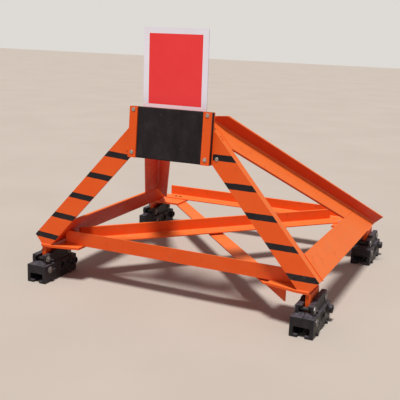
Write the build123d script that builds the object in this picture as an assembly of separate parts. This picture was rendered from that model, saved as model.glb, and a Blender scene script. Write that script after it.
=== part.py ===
from build123d import *
import os
from math import atan2, cos, radians, sin, tan

# Railway buffer stop that clamps on the rail heads of a siding.
# Two leaning triangular side frames of rolled angle carry a rubber impact pad and a red stop board.
# Millimetres. X runs across the track, Y along it away from the train, Z up from the clamp soles.
# The sizes are worked out about the track's middle line (X = 0) and the struts' heels (Y = 0).
# At the end every piece is moved together, so that the origin is the middle of the footprint.

# Track
rail_centres = 1507.0          # standard gauge, measured between the middles of the two rail heads
rail_head_width = 72.0
rail_side_clearance = 4.0      # each side of the rail head in the clamp

# Clamps, front and rear
clamp_length = 300.0
clamp_base_width = 118.0
clamp_base_height = 100.0
clamp_lead = 72.0              # clamp face ahead of the strut heels
clamp_spacing = 1250.0         # front clamps to rear clamps
pocket_floor = 14.0            # thickness of the lips under the rail head
pocket_height = 38.0
lip_gap = 34.0                 # room between the lips for the rail web
neck_width = 88.0              # upper block, which holds the foot's tongue
neck_height = 62.0
neck_inset = 28.0              # the block stands back from both ends of the base
neck_drop = 10.0               # its front part is lower than the rest
neck_step = 115.0              # length of base before the rest begins
neck_ramp = 8.0
ledge_rise = 8.0               # slope of the ledge in front of the block
slot_width = 58.0
slot_height = 28.0
slot_floor = 13.0              # metal between the base and the slot
cast_round = 4.0
boss_size = 50.0               # round boss on both sides of each clamp, with a blind hole
boss_proud = 5.0
boss_hole = 24.0
boss_hole_depth = 12.0
boss_height = 68.0
boss_inset = 36.0              # from the rear end

# Feet
tongue_thick = 24.0
tongue_length = 150.0
tongue_offset = 3.0
tongue_side_gap = 2.0
tongue_chamfer = 4.0
foot_gap = 31.0                # daylight between clamp and foot plate
foot_thick = 12.0
foot_length = 240.0
foot_lead = 10.0               # plate edge ahead of the strut heel
foot_reach = 8.5               # plate edge outside the rail's middle
foot_width = 220.0
foot_sweep_width = 158.0       # the plate's end edge runs askew over this width
foot_sweep = 35.0

# Side frames
heel_overhang = 44.0           # strut heel outside the foot plate
heel_rise = 50.0               # strut heel above the foot plate
front_lean = radians(4.3)      # lean of the striped faces, from the upright
strut_face = 110.0
strut_side = 55.0
strut_thick = 10.0
strut_top = 984.0
strut_top_inset = 63.0         # outer edge of each strut's top inside the pad's edge
strut_slot_width = 9.0         # slotted hole in the narrow leg of the right strut
strut_slot_length = 30.0
strut_slot_height = 876.0
frame_wide = 150.0             # sill and rear strut are the same rolled angle
frame_narrow = 75.0
frame_thick = 10.0
root_round = 10.0
toe_round = 4.0
sill_overrun = 25.0            # rear corner behind the rear clamps' tongues
rear_strut_top = 951.0         # height of its fold where it meets the front strut
rear_strut_lead = 130.0        # the same point behind the strut heel
rear_strut_end = 1003.0        # height of its level upper end
left_sill_wide = 200.0         # the left frame is made of other angles, its edges otherwise the same
left_rear_wide = 110.0
left_rear_narrow = 90.0
left_rear_inset = 60.0         # rear edge of the left rear strut ahead of the left sill's end
weld_gap = 0.3
saddle_thick = 12.0            # upright plates under the left sill's flange
saddle_reach = 55.0
front_saddle_inset = 40.0      # from the near edges of the left foot plates
rear_saddle_inset = 12.0

# Crossbeams and diagonals
brace_flat = 90.0
brace_high = 75.0
brace_thick = 8.0
front_beam_lead = 70.0         # outer face of the front crossbeam behind the strut heels
rear_beam_inset = 22.0         # outer face of the rear crossbeam from the end of the foot plates
beam_end_inset = 62.0          # beam ends from the outer edges of the foot plates
front_beam_left_inset = 107.0
diagonal_end_gap = 1.0
upper_diagonal_left = 86.0     # diagonals' corner edges, outward from the inner edges of the foot plates
upper_diagonal_right = -54.0
lower_diagonal_right = 136.0   # where it passes the strut heels
lower_diagonal_left = -4.0
web_clearance = 1.0
lower_diagonal_lead = 50.0     # its front end behind the strut heels
lower_diagonal_inset = 34.0    # its rear end ahead of the rear crossbeam's outer face
lower_diagonal_gap = 4.5       # to the clamps

# Impact head
pad_width = 448.0
pad_height = 256.0
pad_thick = 25.0
pad_bottom = 744.0
pad_round = 3.0
head_plate_thick = 8.0
strip_width = 44.0
strip_thick = 8.0
pad_bolt_low = 27.0            # from the pad's lower and upper edges
pad_bolt_high = 16.0
strut_bolt_gap = 23.0          # one bolt through each strut, outside the pad's edge
strut_bolt_inset = 98.0        # level distance from the strut's outer edge

# Stop board
board_width = 350.0
board_height = 400.0
board_thick = 3.0
board_bottom = 989.0
bracket_width = 36.0
bracket_thick = 8.0
bracket_inset = 44.0           # its middle inside the outer edge of the strut's top
bracket_bottom = 918.0
bracket_top = 1330.0
bracket_bolt_spacing = 38.0
board_bolt_low = 1060.0
board_bolt_high = 1300.0

# Bolts, by thread diameter
cross_bolt = 20.0
frame_bolt = 12.0
board_bolt = 10.0
bolt_flats = 1.5               # this and the next two are shares of the thread diameter
head_height = 0.63
nut_height = 0.8
hole_play = 0.5                # all round each shank
low_bolt_inset = 46.0          # from the front end of a clamp
low_bolt_height = 70.0
high_bolt_front_gap = 20.0     # ahead of the tongue
high_bolt_rear_gap = 26.0      # behind it
high_bolt_height = 128.0
beam_bolt_inner = 64.0         # from the inner edge of the foot plate
beam_bolt_outer = 98.0
diagonal_bolt_inset = 22.0     # from the inner edge of the foot plate
diagonal_bolt_lead = 23.0      # from the end of the upper diagonal

# Worked out from the sizes above
clamp_centre = rail_centres / 2
pocket_width = rail_head_width + 2 * rail_side_clearance
foot_outer_edge = clamp_centre + foot_reach
heel_half_width = foot_outer_edge + heel_overhang
clamp_top = clamp_base_height + neck_height
slot_bottom = clamp_base_height + slot_floor
foot_under = clamp_top + foot_gap
foot_top = foot_under + foot_thick
foot_inner_edge = foot_outer_edge - foot_width
heel_height = foot_top + heel_rise
strut_top_out = pad_width / 2 - strut_top_inset
side_slope = atan2(strut_top - heel_height, heel_half_width - strut_top_out)
bracket_centre = strut_top_out - bracket_inset
rear_plate_start = clamp_spacing - foot_lead
rear_beam_lead = rear_plate_start + foot_length - rear_beam_inset
sill_length = clamp_spacing + sill_overrun
strut_across = strut_face / sin(side_slope)
left_web_inset = strut_across - frame_thick / sin(side_slope)

# Leaning plane of the striped faces: local X across, local Y up the lean, local Z to the train
front_plane = Plane(origin=(0, 0, heel_height), x_dir=(1, 0, 0),
                    z_dir=(0, -cos(front_lean), sin(front_lean)))
backward = -front_plane.z_dir


def up_lean(height):
    """Distance up the leaning plane that reaches a height above the ground."""
    return (height - heel_height) / cos(front_lean)


def pick(sketch, x, y):
    """The one corner of a flat outline that is nearest to a point."""
    return sketch.vertices().sort_by_distance((x, y, 0))[0]


def angle_section(wide, narrow, thick):
    """Rolled angle: corner at the origin, wide leg along X, narrow leg along Y."""
    outline = make_face(Polyline((0, 0), (wide, 0), (wide, thick), (thick, thick),
                                 (thick, narrow), (0, narrow), close=True))
    outline = fillet(pick(outline, thick, thick), root_round * thick / frame_thick)
    outline = fillet(pick(outline, wide, thick), toe_round * thick / frame_thick)
    return fillet(pick(outline, thick, narrow), toe_round * thick / frame_thick)


def angle_bar(corner, along, wide_way, narrow_way, length, section):
    """Angle of one length whose corner edge starts at a point and runs one way."""
    plane = Plane(origin=corner, x_dir=wide_way, z_dir=along)
    if plane.y_dir.dot(Vector(*narrow_way)) < 0:
        section = mirror(section, about=Plane.XZ)
    return extrude(plane * section, amount=length, dir=plane.z_dir)


def keep_side(solid, point, way):
    """What lies on the side of a flat cut that the given direction points to."""
    return split(solid, bisect_by=Plane(origin=point, z_dir=way), keep=Keep.TOP)


def block(x0, x1, y0, y1, z0, z1):
    """Rectangular solid between two corners."""
    return Pos((x0 + x1) / 2, (y0 + y1) / 2, (z0 + z1) / 2) * Box(x1 - x0, y1 - y0, z1 - z0)


def side_ways(side):
    """For the right (1) or left (-1) frame: up the slope, and square out of the frame."""
    up = Vector(-side * cos(side_slope), 0, sin(side_slope))
    out = Vector(side * sin(side_slope), 0, cos(side_slope))
    return up, out


def web_corner(side):
    """X of the lower outer edge of a side frame's webs."""
    return heel_half_width if side > 0 else -heel_half_width + left_web_inset


def front_strut(side):
    """Striped strut: wide leg in the leaning plane, narrow leg back along its outer edge."""
    slope = atan2(up_lean(strut_top), (strut_top - heel_height) / tan(side_slope))
    along = front_plane.x_dir * (-side * cos(slope)) + front_plane.y_dir * sin(slope)
    across = front_plane.x_dir * (-side * sin(slope)) - front_plane.y_dir * cos(slope)
    run = 1.5 * heel_rise
    start = front_plane.origin + Vector(side * heel_half_width, 0, 0) - along * (run / sin(slope))
    length = (strut_top + run) / sin(slope)
    section = angle_section(strut_face, strut_side, strut_thick)
    bar = angle_bar(start, along, across, backward, length, section)
    if side > 0:
        spot = start + along * ((run + up_lean(strut_slot_height)) / sin(slope)) + backward * (strut_side / 2)
        slot = Plane(origin=spot, x_dir=along, z_dir=across) * SlotOverall(strut_slot_length, strut_slot_width)
        bar -= extrude(slot, amount=2 * strut_thick, both=True)
    bar = keep_side(bar, (0, 0, foot_top), (0, 0, 1))
    bar = keep_side(bar, (0, 0, strut_top), (0, 0, -1))
    heel_run = heel_half_width - foot_outer_edge
    return keep_side(bar, (side * heel_half_width, 0, heel_height), (-side * heel_rise, 0, heel_run))


def behind_strut(solid, side):
    """Trim a side frame piece at the front strut: behind its narrow leg on the right, its wide leg on the left."""
    depth = strut_side if side > 0 else strut_thick
    return keep_side(solid, front_plane.origin + backward * (depth + weld_gap), backward)


def fold_line(side):
    """Rear corner of the side frame, and the direction up its rear fold."""
    rise = rear_strut_top - heel_height
    low = Vector(web_corner(side), sill_length, heel_height)
    top = low + Vector(-side * rise / tan(side_slope), rear_strut_lead - sill_length, rise)
    return low, (top - low).normalized(), (top - low).length


def sill_corner(side):
    """Corner of the sill's angle where it passes the strut heels."""
    up, out = side_ways(side)
    corner = Vector(web_corner(side), 0, heel_height)
    if side > 0:
        return corner
    return corner - out * frame_thick - up * (left_sill_wide - frame_wide)


def sill(side):
    """Bottom member of a side frame, its web in the frame, its flange turned to the left."""
    up, out = side_ways(side)
    low, along, _ = fold_line(side)
    wide = frame_wide if side > 0 else left_sill_wide
    bar = angle_bar(sill_corner(side), (0, 1, 0), up, out * -side, sill_length + wide,
                    angle_section(wide, frame_narrow, frame_thick))
    bar = behind_strut(bar, side)
    inward = out.cross(along)
    if inward.Y > 0:
        inward = -inward
    return keep_side(bar, low, inward)


def rear_strut(side):
    """Back member of a side frame, its flange turned to the right along the rear edge."""
    up, out = side_ways(side)
    low, along, length = fold_line(side)
    inward = out.cross(along)
    if inward.Y > 0:
        inward = -inward
    corner, wide, narrow = low - out * frame_thick, frame_wide, frame_narrow
    if side < 0:
        corner, wide, narrow = low + inward * left_rear_inset, left_rear_wide, left_rear_narrow
    bar = angle_bar(corner - along * narrow, along, inward, out * side,
                    length + 3 * frame_wide, angle_section(wide, narrow, frame_thick))
    if side > 0:
        frame_plane = Plane(origin=low, x_dir=up, z_dir=out)
        bar -= frame_plane * block(-frame_wide, frame_wide + weld_gap, -2 * sill_length,
                                   2 * sill_length, -2 * frame_thick, 0)
    low_room = 0 if side > 0 else frame_wide + weld_gap
    bar = keep_side(bar, low + up * low_room, up)
    bar = behind_strut(bar, side)
    return keep_side(bar, (0, 0, rear_strut_end), (0, 0, -1))


def saddle(lead):
    """Upright plate under the edge of the left sill, standing on a foot plate."""
    up, out = side_ways(-1)
    edge = sill_corner(-1) - up * weld_gap
    tip = edge + out * saddle_reach
    view = Plane(origin=(0, lead, 0), x_dir=(1, 0, 0), z_dir=(0, -1, 0))
    outline = Polyline((edge.X, edge.Z), (tip.X, tip.Z), (tip.X, foot_top), (edge.X, foot_top), close=True)
    return extrude(view * make_face(outline), amount=-saddle_thick)


def foot(side, row):
    """Foot plate with an askew end edge, and the tongue that drops into the clamp."""
    start = (clamp_spacing if row > 0 else 0) - foot_lead
    end_edge, other_edge = (start + foot_length, start) if row > 0 else (start, start + foot_length)
    x_out, x_in = side * foot_outer_edge, side * foot_inner_edge
    x_turn = side * (foot_inner_edge + foot_sweep_width)
    outline = Polyline((x_out, end_edge), (x_turn, end_edge), (x_in, end_edge - row * foot_sweep),
                       (x_in, other_edge), (x_out, other_edge), close=True)
    plate = extrude(Plane.XY.offset(foot_under) * make_face(outline), amount=foot_thick)
    middle = side * clamp_centre + tongue_offset
    tongue = block(middle - tongue_thick / 2, middle + tongue_thick / 2, start + foot_lead,
                   start + foot_lead + tongue_length, slot_bottom, foot_under)
    tongue = chamfer(tongue.edges().group_by(Axis.Z)[0].filter_by(Axis.Y), tongue_chamfer)
    return plate + tongue


def crossbeam(lead, left, right, leg_way):
    """Angle across the track on the foot plates."""
    return angle_bar((-left, lead, foot_top), (1, 0, 0), (0, leg_way, 0), (0, 0, 1), left + right,
                     angle_section(brace_flat, brace_high, brace_thick))


def clear_of_left_sill(solid):
    """Clip what would run into the left side frame's web."""
    up, out = side_ways(-1)
    return keep_side(solid, Vector(web_corner(-1), 0, heel_height) - out * (frame_thick + web_clearance), -out)


def clamp_section():
    """Front view of one clamp about the rail's middle, before it is parted in two jaws."""
    base = Pos(0, clamp_base_height / 2) * RectangleRounded(clamp_base_width, clamp_base_height, cast_round)
    neck_low = clamp_base_height - 2 * cast_round
    neck = Pos(0, (neck_low + clamp_top) / 2) * RectangleRounded(neck_width, clamp_top - neck_low, cast_round)
    pocket = Pos(0, pocket_floor + pocket_height / 2) * RectangleRounded(pocket_width, pocket_height, cast_round)
    web_room = Pos(0, pocket_floor / 2) * Rectangle(lip_gap, pocket_floor * 2)
    slot = Pos(tongue_offset, slot_bottom + slot_height / 2) * RectangleRounded(slot_width, slot_height, cast_round)
    mouth = tongue_thick + 2 * tongue_side_gap
    top_room = Pos(tongue_offset, clamp_top) * Rectangle(mouth, 2 * (clamp_top - slot_bottom - slot_height / 2))
    return base + neck - pocket - web_room - slot - top_room


def clamp_side_view():
    """Side view of one clamp: the upper block stands back from both ends and steps up behind its front."""
    far = clamp_length - neck_inset
    ledge = clamp_base_height + ledge_rise
    step = clamp_top - neck_drop
    return Polyline((0, 0), (clamp_length, 0), (clamp_length, clamp_base_height), (far, ledge), (far, clamp_top),
                    (neck_step, clamp_top), (neck_step - neck_ramp, step), (neck_inset, step),
                    (neck_inset, ledge), (0, clamp_base_height), close=True)


def hexagon(size):
    """Outline of the head or nut for a thread."""
    return RegularPolygon(bolt_flats * size / 2, 6, major_radius=False)


def bolt_head(size):
    """Hexagon head that stands on the origin."""
    return extrude(hexagon(size), head_height * size)


def hexagon_bolt(size, grip):
    """Bolt along local Z: head on the origin, shank down through the grip."""
    return bolt_head(size) + Cylinder(size / 2, grip, align=(Align.CENTER, Align.CENTER, Align.MAX))


def bolt_ends(size, grip):
    """Head and nut alone, on both faces of what the bolt joins."""
    nut = Pos(0, 0, -grip) * extrude(hexagon(size), -nut_height * size)
    return [bolt_head(size), nut]


def bolt_hole(size, depth):
    """Room for a bolt's shank along local Z, centred on the origin."""
    return Cylinder(size / 2 + hole_play, 2 * depth)


def clamp_jaws(side, row):
    """Outer and inner jaw of one clamp, cast in ductile iron, and the bolts across them."""
    centre = side * clamp_centre
    front = (clamp_spacing if row > 0 else 0) - clamp_lead
    view = Plane(origin=(centre, front, 0), x_dir=(1, 0, 0), z_dir=(0, -1, 0))
    side_on = Plane(origin=(centre, front, 0), x_dir=(0, 1, 0), z_dir=(1, 0, 0))
    body = extrude(view * clamp_section(), amount=-clamp_length)
    body &= extrude(side_on * make_face(clamp_side_view()), amount=clamp_base_width, both=True)
    half_base, half_neck = clamp_base_width / 2, neck_width / 2
    for way in (-1, 1):
        seat = Plane(origin=(centre + way * half_base, front + clamp_length - boss_inset, boss_height),
                     z_dir=(way, 0, 0))
        body += seat * Cylinder(boss_size / 2, 2 * boss_proud)
        body -= seat * Cylinder(boss_hole / 2, 2 * boss_hole_depth)
    seat = Plane(origin=(centre + side * half_base, front + low_bolt_inset, low_bolt_height), z_dir=(side, 0, 0))
    bolts = [seat * end for end in bolt_ends(cross_bolt, clamp_base_width)]
    for lead in (-high_bolt_front_gap, tongue_length + high_bolt_rear_gap):
        seat = Plane(origin=(centre + side * half_neck, front + clamp_lead + lead, high_bolt_height),
                     z_dir=(side, 0, 0))
        bolts += [seat * end for end in bolt_ends(cross_bolt, neck_width)]
        shank = Plane(origin=(centre + tongue_offset, front + clamp_lead + lead, high_bolt_height),
                      z_dir=(side, 0, 0))
        bolts.append(shank * Cylinder(cross_bolt / 2, slot_width))
    parting = Plane(origin=(centre + tongue_offset, 0, 0), z_dir=(side, 0, 0))
    outer = split(body, bisect_by=parting, keep=Keep.TOP)
    inner = split(body, bisect_by=parting, keep=Keep.BOTTOM)
    return outer, inner, bolts


def brace_plan(name):
    """Plan points of the corner edge of a diagonal: left end first."""
    near = front_beam_lead + brace_flat + diagonal_end_gap
    far = rear_beam_lead - brace_flat - diagonal_end_gap
    if name == "upper":
        return (Vector(-foot_inner_edge - upper_diagonal_left, near, foot_top),
                Vector(foot_inner_edge + upper_diagonal_right, far, foot_top))
    return (Vector(-foot_inner_edge - lower_diagonal_left, far, foot_under),
            Vector(foot_inner_edge + lower_diagonal_right, 0, foot_under))


def upper_diagonal():
    """Angle from the front left foot to the rear right foot, its high leg up."""
    start, end = brace_plan("upper")
    along = (end - start).normalized()
    run = brace_flat + brace_high
    bar = angle_bar(start - along * run, along, (along.Y, -along.X, 0), (0, 0, 1),
                    (end - start).length + 2 * run, angle_section(brace_flat, brace_high, brace_thick))
    bar = keep_side(bar, start, (0, 1, 0))
    bar = keep_side(bar, end, (0, -1, 0))
    return clear_of_left_sill(bar)


def lower_diagonal():
    """Angle under the foot plates from the rear left to the front right, its high leg down."""
    start, end = brace_plan("lower")
    along = (end - start).normalized()
    run = brace_flat + brace_high
    bar = angle_bar(start - along * run, along, (along.Y, -along.X, 0), (0, 0, -1),
                    (end - start).length + 2 * run, angle_section(brace_flat, brace_high, brace_thick))
    edge = clamp_centre - clamp_base_width / 2 - lower_diagonal_gap
    bar = keep_side(bar, (-edge, 0, 0), (1, 0, 0))
    bar = keep_side(bar, (0, lower_diagonal_lead, 0), (0, 1, 0))
    return keep_side(bar, (0, rear_beam_lead - lower_diagonal_inset, 0), (0, -1, 0))


def leaning_block(x0, x1, low, high, z0, z1):
    """Rectangular solid in the leaning plane: across, heights at its face, and depths to the train."""
    return front_plane * block(x0, x1, low, high, z0, z1)


def put(name, *solids):
    """Keep one named sub-part."""
    parts[name] = solids[0] if len(solids) == 1 else Compound(children=list(solids))


parts = {}
sides = {"left": -1, "right": 1}
rows = {"front": -1, "rear": 1}

# Side frames
for side_name, side in sides.items():
    put(side_name + "_front_strut", front_strut(side))
    put(side_name + "_sill", sill(side))
    put(side_name + "_rear_strut", rear_strut(side))
put("left_front_saddle", saddle(foot_length - foot_lead - front_saddle_inset))
put("left_rear_saddle", saddle(rear_plate_start + rear_saddle_inset))

# Feet and clamps
for row_name, row in rows.items():
    for side_name, side in sides.items():
        corner_name = row_name + "_" + side_name
        put(corner_name + "_foot", foot(side, row))
        outer, inner, bolts = clamp_jaws(side, row)
        put(corner_name + "_outer_jaw", outer)
        put(corner_name + "_inner_jaw", inner)
        put(corner_name + "_clamp_bolts", *bolts)

# Crossbeams and diagonals
beam_end = foot_outer_edge - beam_end_inset
front_left_end = foot_outer_edge - front_beam_left_inset
put("front_crossbeam", clear_of_left_sill(crossbeam(front_beam_lead, front_left_end, beam_end, 1)))
put("rear_crossbeam", crossbeam(rear_beam_lead, beam_end, beam_end, -1))
put("upper_diagonal", upper_diagonal())
put("lower_diagonal", lower_diagonal())

# Impact head: plate, rubber pad and the two strips that hold it
pad_low = up_lean(pad_bottom)
pad_high = pad_low + pad_height
plate_face = head_plate_thick
pad_face = plate_face + pad_thick
strip_face = pad_face + strip_thick
half_pad = pad_width / 2
strut_bolt_out = half_pad + strut_bolt_gap
strut_bolt_height = heel_height + (heel_half_width - strut_bolt_out - strut_bolt_inset) * tan(side_slope)
plate = leaning_block(-half_pad, half_pad, pad_low, pad_high, 0, plate_face)
pad = leaning_block(-half_pad, half_pad, pad_low, pad_high, plate_face, pad_face)
pad = fillet(pad.edges().filter_by(Axis.X), pad_round)
bolts = []
for side_name, side in sides.items():
    near, far = sorted((side * half_pad, side * (half_pad - strip_width)))
    strip = leaning_block(near, far, pad_low, pad_high, pad_face, strip_face)
    for height in (pad_low + pad_bolt_low, pad_high - pad_bolt_high):
        seat = front_plane * Pos(side * (half_pad - strip_width / 2), height, strip_face)
        hole = seat * bolt_hole(frame_bolt, strip_face - plate_face)
        strip -= hole
        pad -= hole
        bolts.append(seat * hexagon_bolt(frame_bolt, strip_face - plate_face))
    put(side_name + "_pad_strip", strip)
    seat = front_plane * Pos(side * strut_bolt_out, up_lean(strut_bolt_height), 0)
    bolts += [seat * end for end in bolt_ends(frame_bolt, strut_thick)]
put("head_plate", plate)
put("impact_pad", pad)
put("pad_bolts", *bolts)

# Upright stop board on two flat bars that are bent where they leave the struts
board_back = -strut_thick
bend = front_plane * Pos(0, up_lean(board_bottom), board_back)
board_plane = Plane(origin=bend.position, x_dir=(1, 0, 0), z_dir=(0, -1, 0))
put("stop_board", board_plane * block(-board_width / 2, board_width / 2, 0, board_height, 0, board_thick))
board_bolts = []
bracket_bolts = []
for side_name, side in sides.items():
    middle = side * bracket_centre
    near, far = middle - bracket_width / 2, middle + bracket_width / 2
    low, high = up_lean(bracket_bottom), up_lean(board_bottom) + bracket_thick * tan(front_lean)
    bracket = leaning_block(near, far, low, high, board_back - bracket_thick, board_back)
    bracket += board_plane * block(near, far, 0, bracket_top - board_bottom, -bracket_thick, 0)
    put(side_name + "_board_bracket", bracket)
    for height in (board_bolt_low, board_bolt_high):
        seat = board_plane * Pos(middle, height - board_bottom, -bracket_thick) * Rot(180, 0, 0)
        board_bolts.append(seat * bolt_head(board_bolt))
    for step in (0, 1):
        height = low + bracket_width / 2 + step * bracket_bolt_spacing
        seat = front_plane * Pos(middle, height, board_back - bracket_thick) * Rot(180, 0, 0)
        bracket_bolts.append(seat * bolt_head(board_bolt))
put("board_bolts", *board_bolts)
put("bracket_bolts", *bracket_bolts)

# Upright bolts through the flat legs and the foot plates
beam_seat = foot_top + brace_thick
beam_middle = (brace_flat + brace_thick) / 2
beam_bolts = {"front": [], "rear": []}
for row_name, row in rows.items():
    lead = front_beam_lead + beam_middle if row < 0 else rear_beam_lead - beam_middle
    for side_name, side in sides.items():
        through = brace_thick if row_name == "rear" and side_name == "left" else 0
        for inset in (beam_bolt_inner, beam_bolt_outer):
            seat = Pos(side * (foot_inner_edge + inset), lead, beam_seat)
            grip = brace_thick + foot_thick + through
            beam_bolts[row_name] += [seat * end for end in bolt_ends(frame_bolt, grip)]
    put(row_name + "_beam_bolts", *beam_bolts[row_name])
diagonal_bolts = []
for side, point in zip((-1, 1), brace_plan("upper")):
    seat = Pos(side * (foot_inner_edge + diagonal_bolt_inset), point.Y - side * diagonal_bolt_lead, beam_seat)
    diagonal_bolts += [seat * end for end in bolt_ends(frame_bolt, brace_thick + foot_thick)]
put("diagonal_bolts", *diagonal_bolts)

# The origin is the middle of the footprint, at the clamp soles
whole = Compound(children=[piece.moved(Location()) for piece in parts.values()]).bounding_box()
to_origin = Vector(-whole.center().X, -whole.center().Y, -whole.min.Z)
print("moved by", to_origin, "size", whole.size)

os.makedirs("parts", exist_ok=True)
for name, piece in parts.items():
    export_step(Pos(*to_origin) * piece, "parts/" + name + ".step")
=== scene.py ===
"""Paint, rubber, cast iron, welds, bolts and studio for the clamp-on railway buffer stop."""
import math

import bpy
from mathutils import Matrix, Vector


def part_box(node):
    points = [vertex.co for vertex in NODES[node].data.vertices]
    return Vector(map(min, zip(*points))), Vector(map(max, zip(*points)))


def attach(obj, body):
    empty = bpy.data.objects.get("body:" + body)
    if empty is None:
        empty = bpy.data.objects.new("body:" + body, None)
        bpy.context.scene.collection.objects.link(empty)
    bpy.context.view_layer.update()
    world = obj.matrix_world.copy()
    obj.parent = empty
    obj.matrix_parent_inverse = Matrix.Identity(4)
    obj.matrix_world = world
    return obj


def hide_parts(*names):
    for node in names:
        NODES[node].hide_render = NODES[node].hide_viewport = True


bl_info = {
    "name": "Railway Buffer Stop",
    "version": (1, 1, 0),
    "blender": (4, 5, 0),
    "location": "3D View > Sidebar > Buffer Stop",
    "description": "Dresses the packed buffer stop: paint, castings, bolts, welds, pad, board and studio",
    "category": "Object",
}

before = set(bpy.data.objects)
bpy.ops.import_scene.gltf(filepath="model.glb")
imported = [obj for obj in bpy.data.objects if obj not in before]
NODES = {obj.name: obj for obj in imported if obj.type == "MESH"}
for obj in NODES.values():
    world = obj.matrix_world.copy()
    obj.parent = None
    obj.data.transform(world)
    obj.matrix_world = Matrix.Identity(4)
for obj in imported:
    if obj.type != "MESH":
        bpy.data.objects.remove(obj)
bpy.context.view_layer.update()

# The part's drawing runs from the track's middle line and the struts' heels; both places here, in metres
TRACK_X = -0.0148
HEEL_Y = -0.704
ORANGE = [name for name in NODES if name.endswith((
    "strut", "sill", "saddle", "foot", "crossbeam", "diagonal", "bracket", "pad_strip", "head_plate"))]

# Names of the paint: without bands, with the right strut's and with the left strut's
PAINTS = {
    0: "brushed orange alkyd enamel",
    1: "orange enamel, right strut bands",
    -1: "orange enamel, left strut bands",
}

# A strut rises by this much for each metre that it leans in. The left strut's heel in metres of the drawing,
# and half the level width of its face, give the place where the face's middle line would meet the ground
STRUT_RISE = 1.1303
HEEL_OUT = 0.806
HEEL_UP = 0.255
FACE_HALF = 0.0735
LEFT_MIDDLE = FACE_HALF - HEEL_OUT - HEEL_UP / STRUT_RISE + TRACK_X

# In metres: a black band's soft edge, how far the brush wavers along it, and the soft edge of the board's
# red field
BAND_EDGE = 0.0015
BAND_WAVER = 0.004
BOARD_EDGE = 0.0008

# Clamps in the drawing's millimetres: a rail head's middle, and a jaw's side face from there
RAIL_MIDDLE = 753.5
JAW_FACE = 59.0
# Spots on a jaw's side face, in metres: behind the jaw's front end, and above its sole
MIDDLE_BOSS = (0.160, 0.068)
REAR_BOSS = (0.264, 0.068)
LOW_NUB = (0.084, 0.060)
HIGH_NUB = (0.086, 0.112)
SOLE_LUGS = ((0.066, 0.0085), (0.232, 0.0085))
# How far the jaw's side steps back at the high nub, how far a lug's middle stands out, and the middle hole's
# radius as a share of the boss's width
NUB_STEP = 0.015
LUG_OUT = 0.002
HOLE_SHARE = 0.32

# Bolts in shares of the thread's width: across the flats, and the hexagon's foot above the washer's
FLATS = 1.5
HEX_FOOT = 0.10
# A hexagon's half width across the flats against its corners' radius
HEX = math.cos(math.pi / 6)
# How a packed bolt is read: corners this near the widest reach are its rim, a hexagon higher than this share
# of the thread is a nut, and in metres another hexagon's least distance, the most that it may lie off the
# same line, and the least lean of the solid's middle that tells of a shank
RIM_REACH = 0.985
NUT_HEIGHT = 0.7
APART = 0.001
OFF_LINE = 0.002
LEAN = 0.0005

# Weld beads: both ends in the drawing's millimetres, and the bead's width
WELDS = (
    # right strut on its foot plate, front and back
    ((703, -4, 205), (762, -4, 205), 7),
    ((703, 7, 205), (762, 7, 205), 7),
    # left strut on its foot plate
    ((-762, -4, 205), (-703, -4, 205), 7),
    ((-762, 7, 205), (-703, 7, 205), 7),
    # right sill's web and flange behind the strut
    ((806.0, 55.5, 255.0), (706.6, 63.9, 367.3), 6),
    ((806.0, 55.5, 255.0), (749.8, 51.7, 205.3), 6),
    # left sill's web behind the strut
    ((-698.1, 10.5, 210.9), (-565.6, 21.5, 360.7), 7),
    ((-705.6, 11.0, 217.6), (-573.1, 22.0, 367.3), 7),
    # rear struts on the sills' edges
    ((706.5, 1090.0, 367.5), (706.5, 852.0, 367.5), 6),
    ((699.0, 1090.0, 360.8), (699.0, 852.0, 360.8), 6),
    ((-573.0, 994.8, 367.5), (-573.0, 820.2, 367.5), 6),
    ((-565.5, 994.8, 360.8), (-565.5, 820.2, 360.8), 6),
    # rear struts' heads behind the front struts
    ((171.0, 109.0, 957.6), (293.4, 98.6, 819.2), 6),
    ((-71.0, 62.4, 934.8), (-160.8, 54.8, 833.3), 6),
    # head plate on the struts' faces
    ((225.0, 35.6, 752.0), (225.0, 47.6, 908.0), 5),
    ((-225.0, 35.6, 752.0), (-225.0, 47.6, 908.0), 5),
)

# Settings that many nodes share, and those of the small chamfer on a sharp edge
MIX = {"data_type": "RGBA"}
SMOOTH = {"interpolation_type": "SMOOTHSTEP"}
TIMES = {"operation": "MULTIPLY"}
TIMES_PLUS = {"operation": "MULTIPLY_ADD"}
MINUS = {"operation": "SUBTRACT"}
CHAMFER = {"segments": 2, "limit_method": "ANGLE", "angle_limit": math.radians(40)}


def linear(code):
    """Blender's linear colour for an sRGB hex value."""
    def one(part):
        value = int(part, 16) / 255
        return value / 12.92 if value <= 0.04045 else ((value + 0.055) / 1.055) ** 2.4
    return (*[one(code[i:i + 2]) for i in (1, 3, 5)], 1.0)


def drawn(point):
    """Place in metres for a point of the drawing in millimetres."""
    return Vector(point) / 1000 + Vector((TRACK_X, HEEL_Y, 0.0))


def add(tree, kind, settings=None, **links):
    """Add a shader node with its settings and links. A link is named after its socket, or s and its number,
    and the setting called stops gives a colour ramp its places and colours."""
    made = tree.nodes.new("ShaderNode" + kind)
    for key, value in (settings or {}).items():
        if key == "stops":
            marks = made.color_ramp.elements
            while len(marks) < len(value):
                marks.new(1.0)
            for mark, (share, code) in zip(marks, value):
                mark.position = share
                mark.color = linear(code)
        else:
            setattr(made, key, value)
    for key, value in links.items():
        socket = made.inputs[int(key[1:])] if key[1:].isdigit() else made.inputs[key.replace("_", " ")]
        if isinstance(value, bpy.types.Node):
            value = value.outputs[0]
        if isinstance(value, bpy.types.NodeSocket):
            tree.links.new(value, socket)
        else:
            socket.default_value = value
    return made


def new_material(name):
    """Empty node material, its tree, and its texture coordinates: place in metres and normal."""
    material = bpy.data.materials.new(name)
    material.use_nodes = True
    tree = material.node_tree
    tree.nodes.clear()
    place = add(tree, "TexCoord")
    return material, tree, place


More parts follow.
